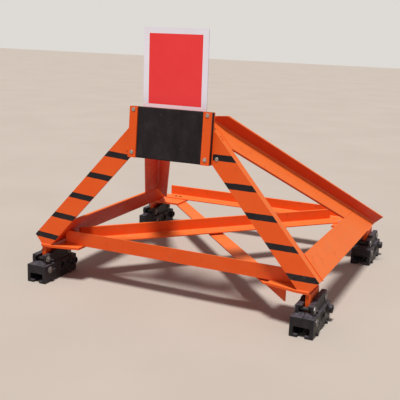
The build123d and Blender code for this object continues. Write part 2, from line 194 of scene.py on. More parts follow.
def edge_wear(tree, spot, reach, grain):
    """Share of rubbed edge: where a rounded normal leaves the true one, broken up by noise."""
    soft = add(tree, "Bevel", {"samples": 6}, Radius=reach)
    true = add(tree, "NewGeometry").outputs["Normal"]
    match = add(tree, "VectorMath", {"operation": "DOT_PRODUCT"}, s0=soft, s1=true).outputs["Value"]
    edge = add(tree, "MapRange", SMOOTH, Value=match, From_Min=0.98, From_Max=0.80)
    speck = add(tree, "TexNoise", Vector=spot, Scale=1 / grain, Detail=5.0, Roughness=0.7)
    broken = add(tree, "MapRange", SMOOTH, Value=speck, From_Min=0.50, From_Max=0.60)
    return add(tree, "Math", TIMES, s0=edge, s1=broken)


def black_bands(tree, look, side, spot, axes, facing):
    """Share of black on a strut's front face: near level bands, the same way apart, from the heel up."""
    low, step, high = (look.right_low, look.right_step, look.right_high) if side > 0 else (
        look.left_low, look.left_step, look.left_high)
    wave = add(tree, "TexNoise", Vector=spot, Scale=1 / 0.04, Detail=2.0)
    level = add(tree, "Math", TIMES_PLUS, s0=wave, s1=BAND_WAVER, s2=axes.outputs["Z"])
    if side < 0:
        # The left strut's bands fall a little towards the outside, about the middle line of its face
        fall = look.left_fall
        level = add(tree, "Math", TIMES_PLUS, s0=axes.outputs["X"], s1=fall, s2=level)
        level = add(tree, "Math", TIMES_PLUS, s0=axes.outputs["Z"], s1=-fall / STRUT_RISE, s2=level)
        level = add(tree, "Math", MINUS, s0=level, s1=fall * LEFT_MIDDLE)
    # Height above the lowest band's foot, and above the foot of the band in reach
    count = add(tree, "Math", MINUS, s0=level, s1=low - high / 2 + BAND_WAVER / 2)
    phase = add(tree, "Math", {"operation": "FLOORED_MODULO"}, s0=count, s1=step)
    share = add(tree, "MapRange", SMOOTH, Value=phase, From_Min=high, From_Max=high - BAND_EDGE)
    lower = add(tree, "MapRange", SMOOTH, Value=phase, From_Min=0.0, From_Max=BAND_EDGE)
    ground = add(tree, "MapRange", Value=count, From_Min=-0.001, From_Max=0.0)
    # The last band ends before this line, which lies half a step under the next one's foot
    roof = add(tree, "MapRange", Value=count, From_Min=(look.bands - 0.4) * step,
               From_Max=(look.bands - 0.5) * step)
    front = add(tree, "MapRange", Value=facing.outputs["Y"], From_Min=-0.90, From_Max=-0.97)
    for limit in (lower, ground, roof, front):
        share = add(tree, "Math", TIMES, s0=share, s1=limit)
    return share


def orange_paint(look, side=0):
    """Alkyd gloss brushed on hot-rolled angle. To the eye: even strong orange with faint brush marks, painted
    light that makes it paler where it faces up and painted shade that makes it deeper where it faces down,
    worn darker in patches, chipped to brown primer on edges, dusted near the ground.
    A strut's side, 1 right or -1 left, adds the black bands on its front face."""
    material, tree, place = new_material(PAINTS[side])
    spot = place.outputs["Object"]
    axes = add(tree, "SeparateXYZ", Vector=spot)
    facing = add(tree, "SeparateXYZ", Vector=place.outputs["Normal"])
    # Painted light and shade: faces that look up are painted paler and those that look down deeper, as light
    # falls on them; and the coat's thickness changes over a hand's breadth
    tone = add(tree, "TexNoise", Vector=spot, Scale=1 / 0.30, Detail=3.0, Roughness=0.5)
    painted_light_and_shade = add(tree, "MapRange", Value=facing.outputs["Z"], From_Min=-0.80, From_Max=0.90,
                 To_Min=-0.12, To_Max=0.88)
    tone = add(tree, "Math", TIMES_PLUS, s0=tone, s1=0.24, s2=painted_light_and_shade)
    stops = ((0.10, look.orange_painted_shade), (0.47, look.orange), (0.88, look.orange_painted_light))
    colour = add(tree, "ValToRGB", {"stops": stops}, Fac=tone)
    # Brush marks 6 mm apart and 40 mm long, drawn coarser than the real ones so that they show
    run = add(tree, "Mapping", Vector=spot, Scale=(1.0, 1.0, 0.15))
    streak = add(tree, "TexNoise", Vector=run, Scale=1 / 0.006, Detail=3.0, Roughness=0.6)
    # Patches of worn coat, 70 mm wide and smaller, which also change the gloss
    worn = add(tree, "TexNoise", Vector=spot, Scale=1 / 0.07, Detail=6.0, Roughness=0.65)
    shade = add(tree, "MapRange", SMOOTH, Value=worn, From_Min=0.56, From_Max=0.72, To_Max=0.30)
    colour = add(tree, "Mix", MIX, s0=shade, s6=colour, s7=linear(look.orange_worn)).outputs[2]
    if side:
        band = black_bands(tree, look, side, spot, axes, facing)
        stops = ((0.35, look.band_black), (0.70, look.band_worn))
        black = add(tree, "ValToRGB", {"stops": stops}, Fac=worn).outputs["Color"]
        colour = add(tree, "Mix", MIX, s0=band, s6=colour, s7=black).outputs[2]
    chip = add(tree, "Math", TIMES, s0=edge_wear(tree, spot, reach=0.0035, grain=0.018), s1=0.45)
    colour = add(tree, "Mix", MIX, s0=chip, s6=colour, s7=linear(look.primer)).outputs[2]
    # Dust and splash up to knee height, in 50 mm clouds, mostly on what faces up
    low_part = add(tree, "MapRange", SMOOTH, Value=axes.outputs["Z"], From_Min=0.55, From_Max=0.10,
                   To_Max=0.30)
    cloud = add(tree, "TexNoise", Vector=spot, Scale=1 / 0.05, Detail=7.0, Roughness=0.7)
    cloud = add(tree, "MapRange", SMOOTH, Value=cloud, From_Min=0.46, From_Max=0.74)
    upper_side = add(tree, "MapRange", SMOOTH, Value=facing.outputs["Z"], From_Min=-0.30, From_Max=0.60,
                     To_Min=0.15)
    dust = add(tree, "Math", TIMES, s0=low_part, s1=cloud)
    dust = add(tree, "Math", TIMES, s0=dust, s1=upper_side)
    colour = add(tree, "Mix", MIX, s0=dust, s6=colour, s7=linear(look.dust)).outputs[2]
    gloss = add(tree, "MapRange", Value=worn, From_Min=0.3, From_Max=0.75, To_Min=0.36, To_Max=0.56)
    # The coat's skin is uneven over 12 mm
    skin = add(tree, "TexNoise", Vector=spot, Scale=1 / 0.012, Detail=3.0, Roughness=0.6)
    height = add(tree, "Math", TIMES_PLUS, s0=streak, s1=0.5, s2=skin)
    bump = add(tree, "Bump", Height=height, Distance=0.0007, Strength=0.35)
    surface = add(tree, "BsdfPrincipled", Base_Color=colour, Roughness=gloss, Normal=bump,
                  Specular_IOR_Level=0.3)
    add(tree, "OutputMaterial", Surface=surface)
    return material


def cast_iron(look):
    """Ductile iron, sand cast and dipped in black. To the eye: grainy near-black skin with grey dust lying on
    what faces up, lightened further as a painted sheen, grey metal on rubbed edges that also serves as a
    painted highlight, and a trace of rust."""
    material, tree, place = new_material("bitumen-dipped ductile iron casting")
    spot = place.outputs["Object"]
    # Sand grains of 1 mm are drawn at 3 mm, so that they show
    grain = add(tree, "TexNoise", Vector=spot, Scale=1 / 0.003, Detail=3.0, Roughness=0.6)
    patch = add(tree, "TexNoise", Vector=spot, Scale=1 / 0.035, Detail=6.0, Roughness=0.65)
    stops = ((0.36, look.iron), (0.54, "#262125"), (0.72, "#362D2E"))
    colour = add(tree, "ValToRGB", {"stops": stops}, Fac=patch).outputs["Color"]
    # Dust and painted sheen: faces that look up are lightened towards grey, for dust lying there and as a
    # painted sheen of glossy tops
    up = add(tree, "SeparateXYZ", Vector=place.outputs["Normal"]).outputs["Z"]
    upward_dust_and_sheen = add(tree, "MapRange", SMOOTH, Value=up, From_Min=0.25, From_Max=0.95, To_Max=0.50)
    cloud = add(tree, "TexNoise", Vector=spot, Scale=1 / 0.02, Detail=6.0, Roughness=0.7)
    cloud = add(tree, "MapRange", SMOOTH, Value=cloud, From_Min=0.30, From_Max=0.62)
    dust = add(tree, "Math", TIMES, s0=upward_dust_and_sheen, s1=cloud)
    colour = add(tree, "Mix", MIX, s0=dust, s6=colour, s7=linear(look.iron_dust_and_sheen)).outputs[2]
    rust = add(tree, "TexNoise", Vector=spot, Scale=1 / 0.028, Detail=5.0, Roughness=0.75)
    rust = add(tree, "MapRange", SMOOTH, Value=rust, From_Min=0.62, From_Max=0.74, To_Max=0.55)
    colour = add(tree, "Mix", MIX, s0=rust, s6=colour, s7=linear(look.rust)).outputs[2]
    # Rubbed edges show grey metal, lightened also as a painted highlight of the casting's gloss
    rubbed_edge_and_highlight = add(tree, "Math", TIMES, s0=edge_wear(tree, spot, reach=0.005, grain=0.010), s1=0.85)
    colour = add(tree, "Mix", MIX, s0=rubbed_edge_and_highlight, s6=colour, s7=linear(look.bare_iron_and_highlight)).outputs[2]
    dull = add(tree, "MapRange", Value=patch, From_Min=0.3, From_Max=0.7, To_Min=0.34, To_Max=0.62)
    height = add(tree, "Math", TIMES_PLUS, s0=patch, s1=1.5, s2=grain)
    bump = add(tree, "Bump", Height=height, Distance=0.0012, Strength=0.6)
    surface = add(tree, "BsdfPrincipled", Base_Color=colour, Roughness=dull, Normal=bump,
                  Specular_IOR_Level=0.3)
    add(tree, "OutputMaterial", Surface=surface)
    return material


def pad_rubber(look):
    """Moulded black rubber. To the eye: matt brown-black, scuffed greyer in soft upright smears
    where buffers have pressed on it."""
    material, tree, place = new_material("moulded black rubber")
    spot = place.outputs["Object"]
    # Patches 85 mm wide and smears 18 mm wide, both twice as tall
    tall = add(tree, "Mapping", Vector=spot, Scale=(1.0, 1.0, 0.45))
    patch = add(tree, "TexNoise", Vector=tall, Scale=1 / 0.085, Detail=7.0, Roughness=0.68)
    stops = ((0.34, look.rubber), (0.52, "#261F21"), (0.68, "#352D2E"))
    colour = add(tree, "ValToRGB", {"stops": stops}, Fac=patch).outputs["Color"]
    rub = add(tree, "TexNoise", Vector=tall, Scale=1 / 0.018, Detail=7.0, Roughness=0.75)
    scuff = add(tree, "MapRange", SMOOTH, Value=rub, From_Min=0.56, From_Max=0.76, To_Max=0.55)
    colour = add(tree, "Mix", MIX, s0=scuff, s6=colour, s7=linear(look.scuff)).outputs[2]
    dull = add(tree, "MapRange", Value=patch, From_Min=0.3, From_Max=0.7, To_Min=0.58, To_Max=0.78)
    # The mould's fine grain is drawn at 3 mm, so that it shows
    fine = add(tree, "TexNoise", Vector=spot, Scale=1 / 0.003, Detail=3.0)
    height = add(tree, "Math", {"operation": "ADD"}, s0=rub, s1=fine)
    bump = add(tree, "Bump", Height=height, Distance=0.0008, Strength=0.5)
    surface = add(tree, "BsdfPrincipled", Base_Color=colour, Roughness=dull, Normal=bump,
                  Specular_IOR_Level=0.2)
    add(tree, "OutputMaterial", Surface=surface)
    return material


def board_sheet(look):
    """Retroreflective sheet laid on aluminium. To the eye: flat bright red field in a white border, satin,
    with a faint cell pattern; bare grey metal behind."""
    material, tree, place = new_material("red reflective sheeting with white border")
    spot = place.outputs["Object"]
    axes = add(tree, "SeparateXYZ", Vector=spot)
    low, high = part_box("stop_board")
    aside = add(tree, "Math", MINUS, s0=axes.outputs["X"], s1=(low[0] + high[0]) / 2)
    aside = add(tree, "Math", {"operation": "ABSOLUTE"}, s0=aside)
    half = (high[0] - low[0]) / 2 - look.side_border
    foot = low[2] + look.end_border
    head = high[2] - look.end_border
    field = add(tree, "MapRange", Value=aside, From_Min=half, From_Max=half - BOARD_EDGE)
    above = add(tree, "MapRange", Value=axes.outputs["Z"], From_Min=foot, From_Max=foot + BOARD_EDGE)
    below = add(tree, "MapRange", Value=axes.outputs["Z"], From_Min=head, From_Max=head - BOARD_EDGE)
    for limit in (above, below):
        field = add(tree, "Math", TIMES, s0=field, s1=limit)
    tone = add(tree, "TexNoise", Vector=spot, Scale=1 / 0.14, Detail=4.0)
    stops = ((0.30, look.red), (0.70, "#FB3E40"))
    red = add(tree, "ValToRGB", {"stops": stops}, Fac=tone).outputs["Color"]
    stops = ((0.30, look.border_white), (0.70, "#FAF5FE"))
    white = add(tree, "ValToRGB", {"stops": stops}, Fac=tone).outputs["Color"]
    colour = add(tree, "Mix", MIX, s0=field, s6=white, s7=red).outputs[2]
    facing = add(tree, "SeparateXYZ", Vector=place.outputs["Normal"])
    front = add(tree, "MapRange", Value=facing.outputs["Y"], From_Min=-0.5, From_Max=-0.9)
    # Rolling lines of the bare back, 4 mm apart and running across the board
    rolled = add(tree, "Mapping", Vector=spot, Scale=(0.05, 1.0, 1.0))
    rolled = add(tree, "TexNoise", Vector=rolled, Scale=1 / 0.004, Detail=4.0)
    stops = ((0.30, look.bare_back), (0.70, "#9C9EA0"))
    bare = add(tree, "ValToRGB", {"stops": stops}, Fac=rolled).outputs["Color"]
    colour = add(tree, "Mix", MIX, s0=front, s6=bare, s7=colour).outputs[2]
    # Cells of the lens layer, 3 mm, drawn as a very shallow relief
    cells = add(tree, "TexVoronoi", Vector=spot, Scale=1 / 0.003)
    bump = add(tree, "Bump", Height=cells, Distance=0.0002, Strength=0.2)
    gloss = add(tree, "MapRange", Value=tone, To_Min=0.32, To_Max=0.46)
    surface = add(tree, "BsdfPrincipled", Base_Color=colour, Roughness=gloss, Normal=bump,
                  Specular_IOR_Level=0.3)
    add(tree, "OutputMaterial", Surface=surface)
    return material


def bolt_steel(name, bright, dirty, share):
    """Bolt steel, forged and turned, plated, oiled or blackened. To the eye: metal gone dull, in patches of
    7 mm between its bright and its dirty colour; the share says how metallic it still looks."""
    material, tree, place = new_material(name)
    spot = place.outputs["Object"]
    patch = add(tree, "TexNoise", Vector=spot, Scale=1 / 0.007, Detail=5.0, Roughness=0.65)
    stops = ((0.38, bright), (0.66, dirty))
    colour = add(tree, "ValToRGB", {"stops": stops}, Fac=patch).outputs["Color"]
    dull = add(tree, "MapRange", Value=patch, From_Min=0.3, From_Max=0.7, To_Min=0.34, To_Max=0.60)
    fine = add(tree, "TexNoise", Vector=spot, Scale=1 / 0.0015, Detail=2.0)
    bump = add(tree, "Bump", Height=fine, Distance=0.0003, Strength=0.4)
    surface = add(tree, "BsdfPrincipled", Base_Color=colour, Metallic=share, Roughness=dull, Normal=bump)
    add(tree, "OutputMaterial", Surface=surface)
    return material


class BufferStopLook(bpy.types.PropertyGroup):
    """Colours and pattern sizes of the finishes."""
    orange: bpy.props.StringProperty(
        name="Orange", description="Paint on the angles", default="#EA5614")
    # Painted shade: the deeper orange of faces that look down
    orange_painted_shade: bpy.props.StringProperty(
        name="Deep orange", description="Paint on faces that look down", default="#CF3808")
    # Painted light: the paler orange of faces that look up
    orange_painted_light: bpy.props.StringProperty(
        name="Orange with painted light", description="Paint on faces that look up", default="#F57634")
    orange_worn: bpy.props.StringProperty(
        name="Worn orange", description="Paint in worn patches", default="#B8401A")
    primer: bpy.props.StringProperty(
        name="Primer", description="Under chipped paint", default="#853718")
    dust: bpy.props.StringProperty(
        name="Dust", description="On the paint near the ground", default="#B98F70")
    band_black: bpy.props.StringProperty(
        name="Band black", description="Bands on the front struts", default="#151217")
    band_worn: bpy.props.StringProperty(
        name="Worn band", description="Bands where they are worn", default="#241F22")
    rubber: bpy.props.StringProperty(
        name="Rubber", description="Pad", default="#1B1618")
    scuff: bpy.props.StringProperty(
        name="Scuff", description="Smears on the pad", default="#4A403F")
    iron: bpy.props.StringProperty(
        name="Iron", description="Castings", default="#1A181B")
    # Dust on upper sides, lightened also as a painted sheen
    iron_dust_and_sheen: bpy.props.StringProperty(
        name="Iron dust", description="Dust on the castings' upper sides", default="#6B636A")
    rust: bpy.props.StringProperty(
        name="Rust", description="Rust on the castings", default="#5B3524")
    # Grey of rubbed edges, also serving as a painted highlight
    bare_iron_and_highlight: bpy.props.StringProperty(
        name="Bare iron", description="Rubbed edges of the castings", default="#8A868A")
    zinc: bpy.props.StringProperty(
        name="Zinc", description="Plated bolts", default="#C9C3BC")
    oiled: bpy.props.StringProperty(
        name="Oiled steel", description="Bolts on the clamps", default="#8F8883")
    # Also painted shade on the shanks in the clamps' slots
    oxide: bpy.props.StringProperty(
        name="Black oxide", description="Bolts of the rear beam and shanks in the clamps", default="#3A3534")
    red: bpy.props.StringProperty(
        name="Red", description="Field of the stop board", default="#FF4446")
    border_white: bpy.props.StringProperty(
        name="Border white", description="Border of the board", default="#F3EDF8")
    bare_back: bpy.props.StringProperty(
        name="Bare back", description="Metal at the board's back", default="#909294")
    bands: bpy.props.IntProperty(
        name="Bands", description="Black bands on each front strut", default=5)
    right_low: bpy.props.FloatProperty(
        name="Right lowest band", description="Middle of the right strut's lowest black band",
        default=0.2645, unit="LENGTH")
    right_step: bpy.props.FloatProperty(
        name="Right spacing", description="From one band to the next", default=0.130, unit="LENGTH")
    right_high: bpy.props.FloatProperty(
        name="Right band height", description="Height of a band", default=0.032, unit="LENGTH")
    left_low: bpy.props.FloatProperty(
        name="Left lowest band", description="Middle of the left strut's lowest black band",
        default=0.256, unit="LENGTH")
    left_step: bpy.props.FloatProperty(
        name="Left spacing", description="From one band to the next", default=0.12075, unit="LENGTH")
    left_high: bpy.props.FloatProperty(
        name="Left band height", description="Height of a band", default=0.030, unit="LENGTH")
    left_fall: bpy.props.FloatProperty(
        name="Left band fall", description="Slope of the left strut's bands", default=0.07, subtype="FACTOR")
    side_border: bpy.props.FloatProperty(
        name="Side border", description="White border at the board's sides", default=0.030, unit="LENGTH")
    end_border: bpy.props.FloatProperty(
        name="End border", description="White border at the board's foot and head", default=0.028,
        unit="LENGTH")


class BufferStopShape(bpy.types.PropertyGroup):
    """Sizes of what the castings, bolts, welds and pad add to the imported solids."""
    strut_head: bpy.props.FloatProperty(
        name="Strut head", description="Height of the rear struts' level upper ends", default=0.976,
        unit="LENGTH")
    painted_side: bpy.props.FloatProperty(
        name="Painted bolts", description="Bolts to the left of this line are painted", default=-0.255,
        unit="LENGTH")
    slot_half: bpy.props.FloatProperty(
        name="Half slot", description="Half width of the slot in a clamp", default=0.034, unit="LENGTH")
    clamp_bolt: bpy.props.FloatProperty(
        name="Clamp bolt width", description="Width of a clamp bolt's head against the packed one",
        default=1.17, subtype="FACTOR")
    cast_grain: bpy.props.FloatProperty(
        name="Casting mesh", description="Mesh size of a remeshed casting", default=0.0024, unit="LENGTH")
    middle_boss: bpy.props.FloatProperty(
        name="Middle boss", description="Diameter of the boss halfway along a clamp", default=0.056,
        unit="LENGTH")
    right_collar: bpy.props.FloatProperty(
        name="Right collar", description="How far a rear boss's collar stands out to the right",
        default=0.022, unit="LENGTH")
    left_collar: bpy.props.FloatProperty(
        name="Left collar", description="How far a rear boss's collar stands out to the left",
        default=0.010, unit="LENGTH")
    lug: bpy.props.FloatProperty(
        name="Lug", description="Size of the small lugs at a clamp's soles", default=0.016, unit="LENGTH")
    ripple: bpy.props.FloatProperty(
        name="Weld ripple", description="Length of one ripple of a weld bead", default=0.005, unit="LENGTH")
    pad_grain: bpy.props.FloatProperty(
        name="Pad mesh", description="Mesh size of the remeshed pad", default=0.0025, unit="LENGTH")
    pad_wear: bpy.props.FloatProperty(
        name="Pad wear", description="Depth of the hollows worn in the pad", default=0.0012, unit="LENGTH")


class BufferStopStage(bpy.types.PropertyGroup):
    """Camera, light and floor."""
    eye: bpy.props.FloatVectorProperty(
        name="Eye", description="Camera place", size=3, default=(1.5699, -3.8120, 1.3794),
        subtype="TRANSLATION", unit="LENGTH")
    yaw: bpy.props.FloatProperty(
        name="Yaw", description="Turn to the left", default=math.radians(24.26), subtype="ANGLE")
    pitch: bpy.props.FloatProperty(
        name="Pitch", description="Tilt up", default=math.radians(-13.29), subtype="ANGLE")
    roll: bpy.props.FloatProperty(
        name="Roll", description="Lean of the camera", default=math.radians(1.98), subtype="ANGLE")
    lens: bpy.props.FloatProperty(
        name="Lens", description="Focal length on a 36 mm frame", default=64.57, subtype="DISTANCE_CAMERA")
    key: bpy.props.FloatProperty(
        name="Key", description="Strength of the main lamp", default=3.5)
    key_from: bpy.props.FloatVectorProperty(
        name="Key from", description="Where the main lamp shines from", size=3, default=(0.6, -3.2, 9.45),
        subtype="TRANSLATION", unit="LENGTH")
    key_size: bpy.props.FloatProperty(
        name="Key size", description="How wide the main lamp looks from the floor",
        default=math.radians(12.0), subtype="ANGLE")
    sky: bpy.props.FloatProperty(
        name="Sky", description="Strength of the light from all round", default=0.26, subtype="FACTOR")
    shine: bpy.props.FloatProperty(
        name="Shine", description="Strength of the surroundings that glossy faces mirror", default=0.45,
        subtype="FACTOR")
    sky_colour: bpy.props.StringProperty(
        name="Sky colour", description="Light from all round", default="#F6F7FA")
    backdrop: bpy.props.StringProperty(
        name="Backdrop", description="Surroundings as the camera and glossy faces see them",
        default="#DEDAD5")
    floor: bpy.props.StringProperty(
        name="Floor", description="Floor, its darker tone", default="#BAADA1")
    floor_pale: bpy.props.StringProperty(
        name="Pale floor", description="Floor, its paler tone", default="#BFB2A6")


def only(*items):
    """Select these objects alone, the first as the active one."""
    for item in list(bpy.context.selected_objects):
        item.select_set(False)
    for item in items:
        item.select_set(True)
    bpy.context.view_layer.objects.active = items[0] if items else None


def treat(piece, kind, **settings):
    """Add one modifier with its settings and apply it."""
    only(piece)
    bpy.ops.object.modifier_add(type=kind)
    modifier = piece.modifiers[-1]
    for key, value in settings.items():
        setattr(modifier, key, value)
    bpy.ops.object.modifier_apply(modifier=modifier.name)


def edited(piece, step, **settings):
    """Take one edit-mode step on the whole of a piece."""
    only(piece)
    bpy.ops.object.mode_set(mode="EDIT")
    bpy.ops.mesh.select_all(action="SELECT")
    step(**settings)
    bpy.ops.object.mode_set(mode="OBJECT")


def settle(piece):
    """Put a piece's place, turn and scale into its mesh."""
    only(piece)
    bpy.ops.object.transform_apply(location=True, rotation=True, scale=True)


def combine(piece, tool, operation):
    """Unite a piece with a tool, cut the tool out of it or keep what both share; the tool goes."""
    treat(piece, "BOOLEAN", object=tool, operation=operation, solver="EXACT")
    bpy.data.objects.remove(tool)


def merged_copy(node):
    """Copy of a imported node's mesh with its corners merged, as the start of a finer piece."""
    piece = bpy.data.objects.new(node, NODES[node].data.copy())
    bpy.context.collection.objects.link(piece)
    edited(piece, bpy.ops.mesh.remove_doubles, threshold=0.00001)
    return piece


def own_copy(piece, place):
    """Second object with its own mesh, placed by a matrix."""
    only(piece)
    bpy.ops.object.duplicate(linked=False)
    twin = bpy.context.active_object
    twin.matrix_world = place
    settle(twin)
    return twin


def joined(items):
    """One object of several."""
    only(*items)
    if len(items) > 1:
        bpy.ops.object.join()
    return bpy.context.active_object


def softened(piece, grain, passes):
    """Give a piece an even mesh and the rounded edges that a mould leaves."""
    treat(piece, "REMESH", mode="VOXEL", voxel_size=grain)
    treat(piece, "SMOOTH", factor=0.5, iterations=passes)


def hand_over(piece, name, material, slot, *stands_for):
    """Settle a finished piece: its name, its place in its mesh, its finish and what it stands for."""
    settle(piece)
    piece.name = piece.data.name = name
    piece.data.materials.clear()
    piece.data.materials.append(material)
    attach(piece, "root")
    if stands_for:
        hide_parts(*stands_for)


def dress(name, material):
    """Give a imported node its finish."""
    mesh = NODES[name].data
    mesh.materials.clear()
    mesh.materials.append(material)


class BUFFER_OT_frame(bpy.types.Operator):
    """Paint the angles, feet, plates and brackets"""
    bl_idname = "buffer.frame"
    bl_label = "Painted frame"

    def execute(self, context):
        look = context.scene.buffer_look
        plain = orange_paint(look)
        for name in ORANGE:
            dress(name, plain)
        dress("right_front_strut", orange_paint(look, 1))
        dress("left_front_strut", orange_paint(look, -1))
        return {"FINISHED"}


class BUFFER_OT_struts(bpy.types.Operator):
    """Trim the rear struts' heads level, behind the head plate"""
    bl_idname = "buffer.struts"
    bl_label = "Rear struts"

    def execute(self, context):
        head = (0.0, 0.0, context.scene.buffer_shape.strut_head)
        for side in ("left", "right"):
            node = side + "_rear_strut"
            piece = merged_copy(node)
            edited(piece, bpy.ops.mesh.bisect, plane_co=head, plane_no=(0.0, 0.0, 1.0), use_fill=True,
                   clear_outer=True)
            treat(piece, "BEVEL", width=0.0012, **CHAMFER)
            hand_over(piece, side + "_rear_angle", bpy.data.materials[PAINTS[0]], "orange_steel", node)
        return {"FINISHED"}


def sink(piece, way, spot, operation, radius, depth):
    """Add a round boss to a casting or sink a round hole in it, from a spot on its side face: it reaches as
    deep into the face as it stands out."""
    bpy.ops.mesh.primitive_cylinder_add(vertices=32, radius=radius, depth=2 * depth, location=spot,
                                        rotation=(0.0, way * math.pi / 2, 0.0))
    combine(piece, bpy.context.active_object, operation)


def lug(piece, way, spot, size):
    """Unite a clamp's sole with a small lug that tapers outwards."""
    only()
    bpy.ops.mesh.primitive_cube_add(size=size, location=spot)
    made = bpy.context.active_object
    bpy.ops.object.mode_set(mode="EDIT")
    bpy.ops.mesh.select_all(action="DESELECT")
    bpy.ops.object.mode_set(mode="OBJECT")
    for face in made.data.polygons:
        face.select = face.normal.x * way > 0.9
    bpy.ops.object.mode_set(mode="EDIT")
    bpy.ops.mesh.select_mode(type="FACE")
    bpy.ops.transform.resize(value=(1.0, 0.6, 0.6), center_override=(spot[0], spot[1], spot[2] - size / 4))
    bpy.ops.object.mode_set(mode="OBJECT")
    combine(piece, made, "UNION")


def cast_jaw(node, side, way, shape):
    """Finer casting for a packed jaw of the clamp on this side, whose side face looks this way."""
    piece = merged_copy(node)
    face = drawn((side * RAIL_MIDDLE + way * JAW_FACE, 0, 0)).x
    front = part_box(node)[0][1]
    middle, rear, low_nub = [(face, front + lead, rise) for lead, rise in (MIDDLE_BOSS, REAR_BOSS, LOW_NUB)]
    high_nub = (face - way * NUB_STEP, front + HIGH_NUB[0], HIGH_NUB[1])
    # Boss with a deep hole halfway along, and a collar on the rear boss
    sink(piece, way, middle, "UNION", radius=shape.middle_boss / 2, depth=0.005)
    sink(piece, way, middle, "DIFFERENCE", radius=shape.middle_boss * HOLE_SHARE, depth=0.016)
    proud = shape.right_collar if way > 0 else shape.left_collar
    sink(piece, way, rear, "UNION", radius=0.021, depth=proud)
    sink(piece, way, rear, "DIFFERENCE", radius=0.011, depth=proud + 0.005)
    # Nubs beside the low and the high bolt, and lugs at the sole
    sink(piece, way, low_nub, "UNION", radius=0.009, depth=0.007)
    sink(piece, way, high_nub, "UNION", radius=0.008, depth=0.010)
    for lead, rise in SOLE_LUGS:
        lug(piece, way, (face + way * LUG_OUT, front + lead, rise), shape.lug)
    softened(piece, shape.cast_grain, passes=3)
    treat(piece, "DECIMATE", ratio=0.35)
    bpy.ops.object.shade_smooth()
    return piece


class BUFFER_OT_clamps(bpy.types.Operator):
    """Model the cast jaws of the four rail clamps"""
    bl_idname = "buffer.clamps"
    bl_label = "Cast clamps"

    def execute(self, context):
        iron = cast_iron(context.scene.buffer_look)
        for side_name, side in (("left", -1), ("right", 1)):
            for jaw, way in (("outer", side), ("inner", -side)):
                node = "front_" + side_name + "_" + jaw + "_jaw"
                piece = cast_jaw(node, side, way, context.scene.buffer_shape)
                rear_node = node.replace("front", "rear")
                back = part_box(rear_node)[0][1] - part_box(node)[0][1]
                rear_piece = own_copy(piece, Matrix.Translation((0.0, back, 0.0)))
                hand_over(piece, node + "_casting", iron, "cast_clamp", node)
                hand_over(rear_piece, rear_node + "_casting", iron, "cast_clamp", rear_node)
        return {"FINISHED"}


class BUFFER_OT_head(bpy.types.Operator):
    """Model the worn impact pad and finish the stop board"""
    bl_idname = "buffer.head"
    bl_label = "Pad and board"

    def execute(self, context):
        look = context.scene.buffer_look
        shape = context.scene.buffer_shape
        pad = merged_copy("impact_pad")
        softened(pad, shape.pad_grain, passes=4)
        wear = bpy.data.textures.new("rubber wear", "CLOUDS")
        wear.noise_scale = 0.07
        treat(pad, "DISPLACE", texture=wear, texture_coords="LOCAL", strength=shape.pad_wear, mid_level=0.5)
        treat(pad, "DECIMATE", ratio=0.4)
        bpy.ops.object.shade_smooth()
        hand_over(pad, "worn_impact_pad", pad_rubber(look), "pad_rubber", "impact_pad")
        dress("stop_board", board_sheet(look))
        return {"FINISHED"}


def turned(vertices, radius, depth, middle):
    """Upright bar of a bolt pattern, with its middle at a height."""
    bpy.ops.mesh.primitive_cylinder_add(vertices=vertices, radius=radius, depth=depth,
                                        location=(0.0, 0.0, middle))
    return bpy.context.active_object


def bolt_pattern(nut):
    """Head with a washer, or nut with a washer and thread end, for a thread of one metre. Its origin lies in
    the middle of the hexagon, so on its seat it stands half sunk."""
    height = 0.50 if nut else 0.53
    only()
    block = turned(6, radius=FLATS / 2 / HEX, depth=height, middle=HEX_FOOT + height / 2)
    # The cone that cuts the top corners gives the flats their curved upper edges
    cone = 0.566
    bpy.ops.mesh.primitive_cone_add(vertices=48, radius1=1.70, radius2=0.72, depth=cone,
                                    location=(0.0, 0.0, HEX_FOOT + height - cone / 2))
    combine(block, bpy.context.active_object, "INTERSECT")
    treat(block, "BEVEL", width=0.02, **CHAMFER)
    washer = turned(40, radius=0.95, depth=0.12, middle=0.06)
    treat(washer, "BEVEL", width=0.025, **CHAMFER)
    items = [block, washer]
    if nut:
        thread = turned(32, radius=0.5, depth=0.80, middle=0.42)
        treat(thread, "BEVEL", width=0.06, **CHAMFER)
        items.append(thread)
    pattern = joined(items)
    bpy.ops.object.shade_smooth_by_angle(angle=math.radians(30))
    return pattern


def square_to(axis, offset):
    """The part of an offset that runs square to an axis."""
    return offset - axis * offset.dot(axis)


def hexagon(solid):
    """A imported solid's middle, and its head or nut: the direction with the most flat area whose outermost
    corners are the twelve of a hexagon, with those corners. None for a solid that has no hexagon."""
    areas = {}
    for face in solid.data.polygons:
        key = tuple(round(abs(value), 2) for value in face.normal)
        total, normal = areas.get(key, (0.0, face.normal.copy()))
        areas[key] = (total + face.area, normal)
    corners = [vertex.co.copy() for vertex in solid.data.vertices]
    middle = sum(corners, Vector()) / len(corners)
    best = None
    for total, normal in areas.values():
        reach = [square_to(normal, corner - middle).length for corner in corners]
        rim = [corner for corner, far in zip(corners, reach) if far > RIM_REACH * max(reach)]
        if len(rim) == 12 and (best is None or total > best[0]):
            best = (total, normal, rim)
    return middle, best


